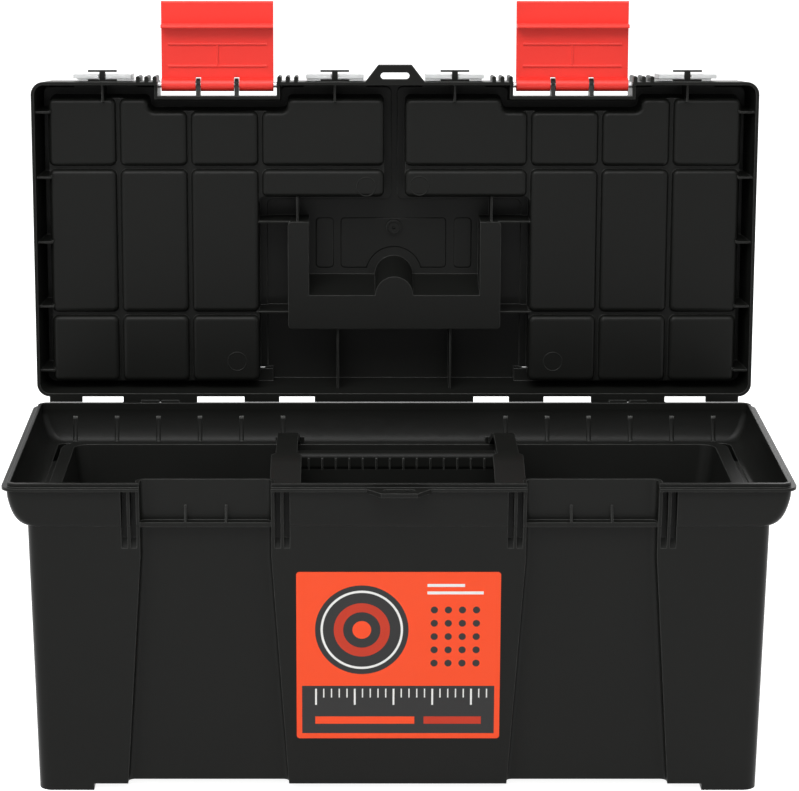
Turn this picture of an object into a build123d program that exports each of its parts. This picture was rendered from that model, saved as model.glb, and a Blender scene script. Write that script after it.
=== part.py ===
"""Plastic toolbox: a flared tub, a hinged lid with small-parts wells, and a lift-out tray.

The box stands on its feet with the lid open, as it is left when someone looks for a tool.
X runs along the width, the front faces -Y, and +Z is up. The origin is on the ground,
under the middle of the box with its lid open.
"""

import os
from math import cos, radians, sin

from build123d import *

os.makedirs("parts", exist_ok=True)

# Tub: the rim
rim_width = 505.0
rim_depth = 224.0
rim_height = 208.5
rim_corner = 10.0
flange_reach = 3.4
flange_thickness = 2.0
lip_height = 2.6

# Tub: the walls
wall = 2.4
side_inset = 15.5
front_inset = 7.0
back_inset = 12.0
wall_taper = 3.5
body_corner = 9.0
collar_height = 24.5
foot_height = 4.5
foot_length = 36.0

# Tub: the two front channels that hold the latches, and one channel in each end
latch_spacing = 246.0
channel_inset = 14.5
channel_taper = 4.5
channel_spread = 10.8
channel_corner = 4.0
end_channel_depth = 8.0
end_channel_width = 96.0
end_channel_spread = 6.0

# Tub: gusset slots beside each channel, and the ledge that a latch hooks under
slot_width = 3.8
slot_rib = 2.0
slot_depth = 6.5
slot_bottom = 38.0
slot_slope = 12.0
slot_web = 2.2
ledge_drop = 27.0
ledge_thickness = 3.0
ledge_reach = 6.0
gusset_pitch = 26.0
gusset_height = 10.0
gusset_thickness = 1.4

# Padlock tabs on the tub and the lid
tab_reach = 11.0
tab_base = 41.0
tab_tip = 23.0
tab_thickness = 2.8
hasp_width = 20.0
hasp_depth = 4.7
hasp_offset = 3.4

# Lid
lid_height = 40.0
lid_setback = 0.75
lid_wall = 2.2
lid_draft = 3.5
lid_corner = 9.0
lid_edge = 5.0
lid_open = 91.0
front_rib_reach = 4.0
front_rib_width = 2.8
front_rib_height = 33.0
frame_rib = 1.4
frame_rib_count = 5

# Lid hinge
hinge_behind = 7.0
hinge_drop = 4.7
hinge_spacing = 330.0
hinge_width = 52.0
hinge_split = 2.0
knuckle_radius = 5.0
hinge_pin_diameter = 4.0
stop_lip_half = 56.0
side_lip_half = 12.3
side_lip_offset = 93.3
end_lip_half = 11.5
end_lip_offset = 231.5
stop_lip_reach = 4.0
stop_lip_height = 3.0

# Latches
latch_width = 77.6
latch_length = 57.6
latch_plate = 2.8
latch_barrel = 9.0
latch_pivot_height = 11.5
latch_pivot_inset = 3.3
latch_pin_diameter = 4.0
latch_swing = 92.0
latch_lug = 2.8
latch_lug_pitch = 26.6
notch_gap = 2.4
notch_depth = 10.2
notch_lean = 5.0
hook_thickness = 2.4
hook_bite = 2.5
latch_rib_height = 0.9
latch_rib_width = 1.2
latch_rib_margin = 4.6
latch_rib_near = 12.8
latch_rib_far = 28.0
latch_tip_radius = 1.2

# Small-parts wells in the lid
well_floor_height = 9.0
well_wall = 1.8
well_corner = 4.2
well_edge = 3.4
well_side_margin = 10.8
well_front_margin = 12.8
well_back_margin = 8.9
well_column = 47.0
well_columns = 3
well_groove = 2.5
well_row = 47.3
centre_gap = 14.6
handle_bay_front = 82.0
divider_height = 18.0
groove_height = 5.0
latch_keepout = 9.4

# Clear covers over the wells
cover_thickness = 2.0
cover_gap = 0.6
cover_ledge = 3.0
cover_swing_room = 4.0
cover_tab_width = 40.0
cover_tab_thickness = 2.8
cover_tab_standoff = 2.2
cover_tab_outer = 202.6
cover_tab_inner = 41.6
cover_barrel = 5.2
cover_pin_diameter = 3.0
cover_pin_length = 2.2
nub_width = 20.0
nub_height = 3.0
nub_level = 9.0
nub_neck = 4.0
nub_cap = 1.2
nub_play = 1.0

# Carry handle, folded into its pocket in the lid
handle_width = 142.6
handle_arm = 8.0
handle_arm_depth = 18.0
handle_proud = 2.8
handle_reach = 52.0
grip_width = 17.5
grip_depth = 22.0
grip_corner = 5.0
grip_spigot_diameter = 10.0
grip_spigot_length = 6.0
trunnion_diameter = 8.0
pocket_gap = 1.3
pocket_wall = 2.0
pocket_floor_height = 7.0
pocket_corner = 3.0
pocket_lean = 10.5
finger_scoop = 13.3
boss_diameter = 11.0
boss_height = 3.0
boss_offset = 3.7
back_web = 39.0

# Lift-out tray and its handle
tray_drop = 25.0
tray_width = 462.0
tray_front_gap = 1.0
tray_back_gap = 1.5
tray_height = 50.0
tray_flange = 6.5
tray_wall = 2.0
tray_taper = 7.0
tray_corner = 12.0
strap_spacing = 146.0
strap_width = 14.2
strap_foot = 20.0
strap_thickness = 3.0
strap_rise = 23.3
strap_flat = 57.5
strap_bend = 60.0
strap_peg_diameter = 4.0
tray_grip_width = 12.0
tray_grip_depth = 11.0
tray_grip_drop = 6.0
tray_grip_wall = 2.4
finger_rib_pitch = 9.0
finger_rib_depth = 1.0

# Front label
label_width = 131.0
label_height = 113.0
label_thickness = 0.3
label_top_drop = 59.5
label_corner = 2.0

# Fits
running_fit = 0.08
press_fit = 0.02
side_play = 0.4
seat_gap = 0.3

# Levels and places worked out from the sizes. Plan places are measured from the tub's middle.
half_width = rim_width / 2
half_depth = rim_depth / 2
lip_corner = rim_corner - flange_reach
parting = rim_height - lip_height
collar_top = parting - flange_thickness
wall_top = collar_top - collar_height
floor_top = foot_height + wall
lid_half_width = half_width - lid_setback
lid_half_depth = half_depth - lid_setback
hinge_y = half_depth + hinge_behind
hinge_z = parting - hinge_drop
tilt = radians(lid_open)
back_reach = hinge_y + (hinge_drop + seat_gap + lid_height + handle_proud) * sin(tilt)
tub_mid = (back_reach - half_depth - tab_reach) / -2
latch_x = latch_spacing / 2
notch_half = latch_width / 2 + notch_gap
recess_half = notch_half + 2 * seat_gap
knuckle = (hinge_width - hinge_split) / 4 - side_play / 2
sides = {"left": -1, "right": 1}

lid_frame = Plane(
    origin=(0, tub_mid + hinge_y, hinge_z),
    x_dir=(1, 0, 0),
    z_dir=(0, sin(tilt), cos(tilt)),
)


def level(z):
    """Plan of the tub at height z."""
    return Plane(origin=(0, tub_mid, z))


def section(x):
    """Side view of the tub at x: sketch X runs to the back, sketch Y runs up."""
    return Plane(origin=(x, tub_mid, 0), x_dir=(0, 1, 0), z_dir=(1, 0, 0))


def lid_point(x, y, w):
    """Where a point of the closed lid, w above the lid's rim plane, is with the lid open."""
    return lid_frame.from_local_coords(Vector(x, y - hinge_y, w + hinge_drop + seat_gap))


def lid_level(w):
    """Plan of the lid at height w above its rim plane."""
    return Plane(origin=lid_point(0, 0, w), x_dir=(1, 0, 0), z_dir=lid_frame.z_dir)


def lid_section(x):
    """Side view of the lid at x: sketch X runs to the back of the lid, sketch Y runs up."""
    return Plane(origin=lid_point(x, 0, 0), x_dir=lid_frame.y_dir, z_dir=(1, 0, 0))


def plan(plane, half, front, back, corner):
    """Rounded plan outline between -half and half, and between front and back."""
    with BuildSketch(plane) as outline:
        with Locations((0, (front + back) / 2)):
            RectangleRounded(2 * half, back - front, corner)
    return outline.sketch


def block(plane, x0, x1, y0, y1):
    """Plain plan rectangle between two corners."""
    with BuildSketch(plane) as outline:
        with Locations(((x0 + x1) / 2, (y0 + y1) / 2)):
            Rectangle(abs(x1 - x0), abs(y1 - y0))
    return outline.sketch


def disc(plane, y, z, diameter):
    """Circle in a side view."""
    with BuildSketch(plane) as outline:
        with Locations((y, z)):
            Circle(diameter / 2)
    return outline.sketch


def profile(plane, *points):
    """Straight-sided outline."""
    with BuildSketch(plane) as outline:
        with BuildLine():
            Polyline(*points, close=True)
        make_face()
    return outline.sketch


def slab(sketch, amount, both=False):
    """Straight piece raised from a sketch."""
    return extrude(sketch, amount=amount, both=both, mode=Mode.PRIVATE)


def padlock_tab(plane, front, root):
    """Padlock tab with its slot, rooted inside a wall and standing out from front."""
    tip = -half_depth - tab_reach
    with BuildSketch(plane) as outline:
        with BuildLine():
            Polyline(
                (-tab_base / 2, root),
                (-tab_base / 2, front),
                (-tab_tip / 2, tip),
                (tab_tip / 2, tip),
                (tab_base / 2, front),
                (tab_base / 2, root),
                close=True,
            )
        make_face()
        with Locations((0, -half_depth - hasp_offset)):
            SlotOverall(hasp_width, hasp_depth, mode=Mode.SUBTRACT)
    return outline.sketch


# Tub
shelf_top = rim_height - tray_drop - tray_wall - seat_gap
slot_group = 2 * slot_width + slot_rib
slot_back = -half_depth + front_inset + slot_depth
slot_low = rim_height - slot_bottom - slot_slope
slot_start = recess_half + slot_web
ledge_top = rim_height - ledge_drop
ledge_bottom = ledge_top - ledge_thickness
channel_back = -half_depth + channel_inset
ledge_front = channel_back - ledge_reach
ledge_half = recess_half + slot_web / 2
collar_angles = (0, 25, 48, 68, 82, 90)


def tub_plan(z, inset):
    """Outline of the tub wall at height z, moved in by inset."""
    taper = wall_taper * (wall_top - z) / wall_top
    return plan(
        level(z),
        half_width - side_inset - taper - inset,
        -half_depth + front_inset + taper + inset,
        half_depth - back_inset - taper - inset,
        body_corner - inset,
    )


def collar_plan(angle, inset):
    """Outline of the flared collar, from its top at 0 degrees to the wall at 90 degrees."""
    out = cos(radians(angle))
    down = sin(radians(angle))
    return plan(
        level(collar_top - (collar_height - inset) * down),
        half_width - flange_reach - (side_inset - flange_reach) * (1 - out) - inset * out,
        -half_depth + flange_reach + (front_inset - flange_reach) * (1 - out) + inset,
        half_depth - flange_reach - (back_inset - flange_reach) * (1 - out) - inset * out,
        lip_corner + (body_corner - lip_corner) * (1 - out) - inset * out,
    )


def front_channel(side, grow):
    """Outlines of a front channel at the ground, under the slots and at the rim, grown by grow."""
    outlines = []
    for z, spread in ((0, channel_spread), (slot_low, 0), (rim_height, 0)):
        depth = channel_inset + channel_taper * (1 - z / rim_height) + grow + tab_reach
        with BuildSketch(level(z)) as outline:
            with Locations((side * latch_x, depth / 2 - half_depth - tab_reach)):
                RectangleRounded(2 * (recess_half + spread + grow), depth, channel_corner + grow)
        outlines.append(outline.sketch)
    return outlines


def end_channel(side, grow):
    """Outlines of an end channel at the ground and under the tray shelf, grown by grow."""
    outlines = []
    for z, spread in ((0, end_channel_spread), (shelf_top - wall + grow, 0)):
        taper = wall_taper * (wall_top - z) / wall_top
        depth = end_channel_depth + taper + grow + flange_reach
        with BuildSketch(level(z)) as outline:
            with Locations((side * (half_width - side_inset + flange_reach - depth / 2), 0)):
                RectangleRounded(depth, end_channel_width + 2 * (spread + grow), channel_corner + grow)
        outlines.append(outline.sketch)
    return outlines


with BuildPart() as tub_guards:
    for side in sides.values():
        loft(front_channel(side, wall), ruled=True)
        loft(end_channel(side, wall))
        reach = slot_start + slot_group + wall
        slot_guard = block(
            level(slot_low - wall),
            side * latch_x - reach,
            side * latch_x + reach,
            -half_depth,
            slot_back + wall,
        )
        extrude(slot_guard, amount=parting - slot_low + wall)

with BuildPart() as tub_space:
    loft([tub_plan(floor_top, wall), tub_plan(wall_top + wall, wall)])
    loft([collar_plan(angle, wall) for angle in collar_angles])
    extrude(collar_plan(0, wall), amount=rim_height - collar_top)
    add(tub_guards.part, mode=Mode.SUBTRACT)

with BuildPart() as tub_cuts:
    foot_gap_x = half_width - side_inset - wall_taper - foot_length
    extrude(block(level(0), -foot_gap_x, foot_gap_x, -half_depth, half_depth), amount=foot_height)
    foot_gap_y = half_depth - front_inset - wall_taper - foot_length
    extrude(block(level(0), -half_width, half_width, -foot_gap_y, foot_gap_y), amount=foot_height)
    for side in sides.values():
        loft(front_channel(side, 0), ruled=True)
        loft(end_channel(side, 0))
        for edge in (-1, 1):
            for step in (0, 1):
                near = slot_start + step * (slot_width + slot_rib) + slot_width / 2
                slot = profile(
                    section(side * latch_x + edge * near),
                    (-half_depth - tab_reach, collar_top),
                    (slot_back, collar_top),
                    (slot_back, rim_height - slot_bottom),
                    (-half_depth - tab_reach, slot_low - tab_reach),
                )
                extrude(slot, amount=slot_width / 2, both=True)

with BuildPart() as tub_trim:
    for side in sides.values():
        ledge = block(
            level(ledge_bottom),
            side * latch_x - ledge_half,
            side * latch_x + ledge_half,
            ledge_front,
            channel_back + wall,
        )
        extrude(ledge, amount=ledge_thickness)
        for step in (-1, 1):
            gusset = profile(
                section(side * latch_x + step * gusset_pitch / 2),
                (ledge_front, ledge_top),
                (channel_back + wall, ledge_top),
                (channel_back + wall, ledge_top + gusset_height),
                (channel_back - gusset_thickness, ledge_top + gusset_height),
            )
            extrude(gusset, amount=gusset_thickness / 2, both=True)
        for edge in (-1, 1):
            middle = section(side * hinge_spacing / 2 + edge * (hinge_width - knuckle) / 2)
            extrude(disc(middle, hinge_y, hinge_z, 2 * knuckle_radius), amount=knuckle / 2, both=True)
            bracket = profile(
                middle,
                (hinge_y, hinge_z + knuckle_radius),
                (hinge_y, hinge_z - knuckle_radius),
                (half_depth - back_inset, wall_top),
                (half_depth - back_inset, hinge_z),
                (half_depth - flange_reach, hinge_z + knuckle_radius - flange_thickness),
            )
            extrude(bracket, amount=knuckle / 2, both=True)
            bore = disc(middle, hinge_y, hinge_z, hinge_pin_diameter + 2 * press_fit)
            extrude(bore, amount=knuckle / 2, both=True, mode=Mode.SUBTRACT)

with BuildPart() as tub:
    loft([tub_plan(0, 0), tub_plan(wall_top, 0)])
    loft([collar_plan(angle, 0) for angle in collar_angles])
    extrude(plan(level(collar_top), half_width, -half_depth, half_depth, rim_corner), amount=flange_thickness)
    extrude(collar_plan(0, 0), amount=rim_height - collar_top)
    tab_root = -half_depth + flange_reach + wall / 2
    extrude(padlock_tab(level(parting), -half_depth, tab_root), amount=-tab_thickness)
    add(tub_cuts.part, mode=Mode.SUBTRACT)
    add(tub_trim.part)
    add(tub_space.part, mode=Mode.SUBTRACT)
tub.part.label = "tub"
export_step(tub.part, "parts/tub.step")

for name, side in sides.items():
    with BuildPart() as hinge_pin:
        pin_middle = section(side * hinge_spacing / 2)
        extrude(disc(pin_middle, hinge_y, hinge_z, hinge_pin_diameter), amount=hinge_width / 2, both=True)
    hinge_pin.part.label = f"hinge_pin_{name}"
    export_step(hinge_pin.part, f"parts/hinge_pin_{name}.step")

# Lid
lid_front = -lid_half_depth
lid_back = lid_half_depth
lid_top = lid_height - lid_wall
well_outer = lid_half_width - well_side_margin
well_inner = well_outer - well_columns * well_column - (well_columns - 1) * well_groove
well_front = lid_front + well_front_margin
well_back = lid_back - well_back_margin
bay_front = lid_front + handle_bay_front
divider_top = well_floor_height + divider_height
groove_top = well_floor_height + groove_height
web_top = groove_top + well_wall
divider_low = groove_top + well_wall / 2
seat_floor = lid_height - cover_thickness - seat_gap
seat_base = seat_floor - lid_wall
cover_pivot_y = well_back + cover_ledge - cover_swing_room
cover_pivot_w = seat_floor + seat_gap - cover_barrel / 2 + cover_thickness
latch_pivot_y = lid_front + latch_pivot_inset
notch_back = lid_front + notch_depth
notch_knee = latch_pivot_height - latch_barrel / 2
handle_pivot_w = lid_height + handle_proud - handle_arm_depth / 2
pocket_depth = lid_height - pocket_floor_height
pocket_half = handle_width / 2 + pocket_gap + pocket_wall
pocket_front = -handle_arm_depth / 2 - pocket_gap - pocket_wall
pocket_back = handle_reach + grip_width / 2 + pocket_gap + pocket_wall
latch_clear = notch_depth + lid_wall + latch_keepout
latch_clear_half = notch_half + lid_wall + latch_keepout / 2
arm_middle = handle_width / 2 - handle_arm / 2
web_low = pocket_floor_height + 2 * pocket_wall
frame_rib_room = well_back - well_front - 2 * lid_corner
tab_places = (cover_tab_inner, cover_tab_outer)
rib_places = tuple(
    edge * (slot_start + step * (slot_width + slot_rib) - slot_rib / 2)
    for edge in (-1, 1)
    for step in (0, 1, 2)
)


lip_places = [(0, stop_lip_half)]
for side in sides.values():
    lip_places.append((side * side_lip_offset, side_lip_half))
    lip_places.append((side * hinge_spacing / 2, hinge_width / 2))
    lip_places.append((side * end_lip_offset, end_lip_half))


def lid_plan(w, inset):
    """Outline of the lid at height w, moved in by inset."""
    draft = lid_draft * w / lid_height
    return plan(
        lid_level(w),
        lid_half_width - draft - inset,
        lid_front + draft + inset,
        lid_back - draft - inset,
        lid_corner - inset,
    )


def well_cells(plane, inset):
    """Plan of every small-parts well, moved in by inset from its outside."""
    rows = (
        (well_front, well_front + well_row),
        (well_front + well_row + well_groove, well_back - well_row - well_groove),
        (well_back - well_row, well_back),
    )
    with BuildSketch(plane) as cells:
        for side in sides.values():
            for column in range(well_columns):
                outer = well_outer - column * (well_column + well_groove)
                for front, back in rows:
                    with Locations((side * (outer - well_column / 2), (front + back) / 2)):
                        Rectangle(well_column - 2 * inset, back - front - 2 * inset)
            inner_middle = (well_inner - well_groove + centre_gap / 2) / 2
            inner_width = well_inner - well_groove - centre_gap / 2
            for front, back in (rows[0], (rows[1][0], bay_front)):
                with Locations((side * inner_middle, (front + back) / 2)):
                    Rectangle(inner_width - 2 * inset, back - front - 2 * inset)
            with Locations((side * latch_x, lid_front + (latch_clear + inset) / 2)):
                Rectangle(2 * (latch_clear_half + inset), latch_clear + inset, mode=Mode.SUBTRACT)
        fillet(cells.vertices(), well_corner - inset)
    return cells.sketch


def well_field(plane, side, grow):
    """Plan of all the wells on one side as one L-shaped field, grown by grow."""
    with BuildSketch(plane) as field:
        with Locations((side * (well_outer + well_inner) / 2, (well_front + well_back) / 2)):
            Rectangle(well_outer - well_inner + 2 * grow, well_back - well_front + 2 * grow)
        with Locations((side * (well_outer + centre_gap / 2) / 2, (well_front + bay_front) / 2)):
            Rectangle(well_outer - centre_gap / 2 + 2 * grow, bay_front - well_front + 2 * grow)
        with Locations((side * latch_x, lid_front + (latch_clear - grow) / 2)):
            Rectangle(2 * (latch_clear_half - grow), latch_clear - grow, mode=Mode.SUBTRACT)
        fillet(field.vertices(), well_corner)
    return field.sketch


def tab_face(w):
    """Back face of a cover's tab at height w, which follows the draft of the lid's front."""
    return lid_front + lid_draft * w / lid_height - cover_tab_standoff


def handle_pocket(w, inset):
    """U-shaped plan of the handle pocket with its finger scoop at height w, moved in by inset."""
    lean = pocket_lean * (w - pocket_floor_height) / pocket_depth
    bar_front = handle_reach - grip_width / 2 - pocket_gap - pocket_wall - lean
    arm_inner = handle_width / 2 - handle_arm - pocket_gap - pocket_wall
    with BuildSketch(lid_level(w)) as pocket:
        with Locations((0, (pocket_front + pocket_back) / 2)):
            RectangleRounded(2 * (pocket_half - inset), pocket_back - pocket_front - 2 * inset, pocket_corner)
        with Locations((0, (pocket_front + bar_front) / 2)):
            Rectangle(2 * (arm_inner + inset), bar_front - pocket_front + 2 * inset, mode=Mode.SUBTRACT)
        with Locations((0, bar_front + inset)):
            Circle(finger_scoop - inset)
    return pocket.sketch


def latch_lug_plan(plane):
    """Lug that carries a latch pin, with the pin's bore."""
    with BuildSketch(plane) as lug:
        with BuildLine():
            Polyline(
                (notch_back + lid_wall, latch_pivot_height - latch_barrel),
                (latch_pivot_y, latch_pivot_height - latch_barrel / 2),
                (latch_pivot_y, latch_pivot_height + latch_barrel / 2),
                (notch_back + lid_wall, latch_pivot_height + latch_barrel),
                close=True,
            )
        make_face()
        with Locations((latch_pivot_y, latch_pivot_height)):
            Circle(latch_barrel / 2)
            Circle(latch_pin_diameter / 2 + press_fit, mode=Mode.SUBTRACT)
    return lug.sketch


def lid_knuckle(plane):
    """Hinge knuckle of the lid with the arm that reaches over the tub's rim."""
    axis_w = -hinge_drop - seat_gap
    with BuildSketch(plane) as arm:
        with BuildLine():
            Polyline(
                (lid_back - lid_wall, 0),
                (hinge_y - knuckle_radius, 0),
                (hinge_y - knuckle_radius, axis_w),
                (hinge_y + knuckle_radius, axis_w),
                (hinge_y + knuckle_radius, 0),
                (lid_back - lid_wall, 2 * hinge_behind),
                close=True,
            )
        make_face()
        with Locations((hinge_y, axis_w)):
            Circle(knuckle_radius)
            Circle(hinge_pin_diameter / 2 + running_fit, mode=Mode.SUBTRACT)
    return arm.sketch


with BuildPart() as lid_outer:
    loft([lid_plan(0, 0), lid_plan(lid_height, 0)])
    top_face = lid_outer.faces().sort_by(Axis(lid_frame.origin, lid_frame.z_dir))[-1]
    fillet(top_face.edges(), lid_edge)

lid_frames = []
lid_spaces = []
lid_trim = []
lid_bores = []
for side in sides.values():
    notch_middle = side * latch_x
    notch_wall = profile(
        lid_section(notch_middle),
        (lid_front, lip_height),
        (notch_back + lid_wall, lip_height),
        (notch_back + lid_wall, notch_knee),
        (notch_back + notch_lean + lid_wall, lid_height),
        (lid_front, lid_height),
    )
    lid_frames.append(slab(notch_wall, notch_half + lid_wall, both=True))
    notch = profile(
        lid_section(notch_middle),
        (lid_front - tab_reach, -lid_wall),
        (notch_back, -lid_wall),
        (notch_back, notch_knee),
        (notch_back + notch_lean, lid_height),
        (notch_back + notch_lean, lid_height + lid_wall),
        (lid_front - tab_reach, lid_height + lid_wall),
    )
    lid_spaces.append(slab(notch, notch_half, both=True))
    pin_hole = disc(
        lid_section(notch_middle),
        latch_pivot_y,
        latch_pivot_height,
        latch_pin_diameter + 2 * press_fit,
    )
    lid_bores.append(slab(pin_hole, notch_half + lid_wall, both=True))
    hinge_strip = block(
        lid_level(seat_base - cover_barrel),
        side * (well_inner - 3 * cover_ledge),
        side * lid_half_width,
        cover_pivot_y - cover_swing_room,
        lid_back,
    )
    lid_frames.append(slab(hinge_strip, lid_height - seat_base + cover_barrel))
    hinge_groove = block(
        lid_level(cover_pivot_w - cover_barrel / 2 - seat_gap),
        side * (well_inner - cover_ledge),
        side * (well_outer + cover_ledge),
        cover_pivot_y - cover_swing_room,
        cover_pivot_y + cover_swing_room,
    )
    lid_spaces.append(slab(hinge_groove, lid_height))
    cover_hole = disc(
        lid_section(side * (well_inner + well_outer) / 2),
        cover_pivot_y,
        cover_pivot_w,
        cover_pin_diameter + 2 * running_fit,
    )
    cover_hole_reach = (well_outer - well_inner) / 2 + cover_ledge + cover_pin_length
    lid_spaces.append(slab(cover_hole, cover_hole_reach, both=True))
    trunnion_wall = lid_section(side * (pocket_half - pocket_wall - pocket_gap))
    trunnion_hole = disc(trunnion_wall, 0, handle_pivot_w, trunnion_diameter + 2 * running_fit)
    lid_bores.append(slab(trunnion_hole, side * (pocket_wall + pocket_gap)))
    lid_spaces.append(slab(well_field(lid_level(web_top), side, -well_wall), lid_height - web_top))
    lid_spaces.append(slab(well_field(lid_level(seat_floor), side, cover_ledge), lid_height - seat_floor))
    for place in tab_places:
        tab_seat = block(
            lid_level(seat_base),
            side * place - cover_tab_width / 2 - lid_wall,
            side * place + cover_tab_width / 2 + lid_wall,
            lid_front,
            well_front,
        )
        lid_frames.append(slab(tab_seat, lid_height - seat_base))
        tab_gate = block(
            lid_level(seat_floor),
            side * place - cover_tab_width / 2 - cover_gap,
            side * place + cover_tab_width / 2 + cover_gap,
            lid_front - tab_reach,
            well_front,
        )
        lid_spaces.append(slab(tab_gate, lid_height))
        front_rib = block(
            lid_level(lip_height + lid_wall),
            side * place - frame_rib / 2,
            side * place + frame_rib / 2,
            lid_front,
            well_front + well_wall,
        )
        lid_frames.append(slab(front_rib, lid_top - lip_height))
        nub_front = lid_front - cover_tab_standoff - cover_tab_thickness - nub_play
        for width, near, far in (
            (nub_width, lid_front + lid_wall, tab_face(nub_level + nub_height / 2) + cover_gap),
            (nub_neck, lid_front, nub_front),
            (nub_width, nub_front, nub_front - nub_cap),
        ):
            nub = block(
                lid_level(nub_level - nub_height / 2),
                side * place - width / 2,
                side * place + width / 2,
                near,
                far,
            )
            lid_trim.append(slab(nub, nub_height))
    for step in range(well_columns):
        place = well_outer - (step + 1) * well_column - (step + 0.5) * well_groove
        near_latch = abs(place - latch_x) < latch_clear_half
        divider_front = lid_front + latch_clear if near_latch else well_front
        divider_back = bay_front if place < well_inner else well_back
        divider = block(
            lid_level(divider_low),
            side * place - well_wall / 2,
            side * place + well_wall / 2,
            divider_front + well_wall / 2,
            divider_back - well_wall / 2,
        )
        lid_trim.append(slab(divider, divider_top - divider_low))
    for place, inner in (
        (well_front + well_row + well_groove / 2, centre_gap / 2),
        (well_back - well_row - well_groove / 2, well_inner),
    ):
        divider = block(
            lid_level(divider_low),
            side * (inner + well_wall / 2),
            side * (well_outer - well_wall / 2),
            place - well_wall / 2,
            place + well_wall / 2,
        )
        lid_trim.append(slab(divider, divider_top - divider_low))
    for step in range(frame_rib_count):
        place = well_front + lid_corner + frame_rib_room * step / (frame_rib_count - 1)
        side_rib = block(
            lid_level(lip_height + lid_wall),
            side * (well_outer - well_wall),
            side * lid_half_width,
            place - frame_rib / 2,
            place + frame_rib / 2,
        )
        lid_frames.append(slab(side_rib, lid_top - lip_height))
    for place in rib_places:
        with BuildSketch(lid_level(0)) as rib_plan:
            with Locations((notch_middle + place, lid_front + (lid_wall - front_rib_reach) / 2)):
                SlotOverall(front_rib_reach + lid_wall, front_rib_width, rotation=90)
        along_draft = lid_frame.z_dir * lid_height + lid_frame.y_dir * lid_draft
        lid_trim.append(extrude(rib_plan.sketch, amount=front_rib_height, dir=along_draft, mode=Mode.PRIVATE))
    for step in (-1, 1):
        lug_middle = lid_section(notch_middle + step * latch_lug_pitch / 2)
        lid_trim.append(slab(latch_lug_plan(lug_middle), latch_lug / 2, both=True))
        knuckle_middle = lid_section(side * hinge_spacing / 2 + step * (hinge_split + knuckle) / 2)
        lid_trim.append(slab(lid_knuckle(knuckle_middle), knuckle / 2, both=True))
    for x0, x1, y0, y1 in (
        (arm_middle, arm_middle + frame_rib, bay_front - well_wall, pocket_front + pocket_wall),
        (pocket_half - pocket_wall, well_inner + well_wall, pocket_front, pocket_front + frame_rib),
        (pocket_half - pocket_wall, well_inner + well_wall, handle_reach, handle_reach + frame_rib),
        (back_web, back_web + frame_rib, pocket_back - pocket_wall, lid_back - lid_draft),
    ):
        web = block(lid_level(web_low), side * x0, side * x1, y0, y1)
        lid_frames.append(slab(web, lid_top - web_low + lid_wall / 2))
lid_trim.append(slab(padlock_tab(lid_level(0), lid_front, lid_front + lid_wall / 2), tab_thickness))
for place, half in lip_places:
    stop_lip = block(
        lid_level(0),
        place - half,
        place + half,
        lid_back - lid_wall,
        lid_back + stop_lip_reach,
    )
    lid_trim.append(slab(stop_lip, stop_lip_height))
boss = disc(lid_level(lid_top - boss_height), 0, -boss_offset, boss_diameter)
lid_frames.append(slab(boss, boss_height))
well_space = well_cells(lid_level(well_floor_height + well_wall), well_wall)
lid_spaces.append(slab(well_space, groove_height + well_wall))
pocket_levels = (pocket_floor_height + pocket_wall, lid_height + lid_wall)
pocket_ends = [handle_pocket(w, pocket_wall) for w in pocket_levels]
lid_spaces.append(loft(pocket_ends, ruled=True, mode=Mode.PRIVATE))

with BuildPart() as lid_wells:
    extrude(well_cells(lid_level(well_floor_height), 0), amount=groove_height + well_wall)
    undersides = lid_wells.faces().group_by(Axis(lid_frame.origin, lid_frame.z_dir))[0]
    fillet(undersides.edges(), well_edge)
    add([slab(well_field(lid_level(groove_top), side, 0), lid_top - groove_top) for side in sides.values()])
    seat_ring = cover_ledge + lid_wall
    seat_depth = lid_height - seat_base - lid_wall / 2
    add([slab(well_field(lid_level(seat_base), side, seat_ring), seat_depth) for side in sides.values()])
    pocket_top = lid_height - lid_wall / 2
    loft([handle_pocket(w, 0) for w in (pocket_floor_height, pocket_top)], ruled=True)

with BuildPart() as lid_inside:
    add(lid_frames)
    add(lid_outer.part, mode=Mode.INTERSECT)

with BuildPart() as lid:
    add(lid_outer.part)
    loft([lid_plan(0, lid_wall), lid_plan(lid_top, lid_wall)], mode=Mode.SUBTRACT)
    add([lid_inside.part, lid_wells.part])
    add(lid_spaces, mode=Mode.SUBTRACT)
    add(lid_trim)
    add(lid_bores, mode=Mode.SUBTRACT)
lid.part.label = "lid"
export_step(lid.part, "parts/lid.step")

# Latches
hook_top = parting + seat_gap + latch_pivot_height - ledge_bottom + seat_gap
hook_tip = ledge_front + hook_bite - latch_pivot_y
plate_back = latch_plate - latch_barrel / 2
swing = radians(latch_swing)


def latch_plane(side):
    """Side view of a latch: sketch X runs from its face to its back, sketch Y from its pin to its tip."""
    into = lid_frame.y_dir * cos(swing) - lid_frame.z_dir * sin(swing)
    middle = lid_point(side * latch_x, latch_pivot_y, latch_pivot_height)
    return Plane(origin=middle, x_dir=into, z_dir=(-1, 0, 0))


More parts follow.
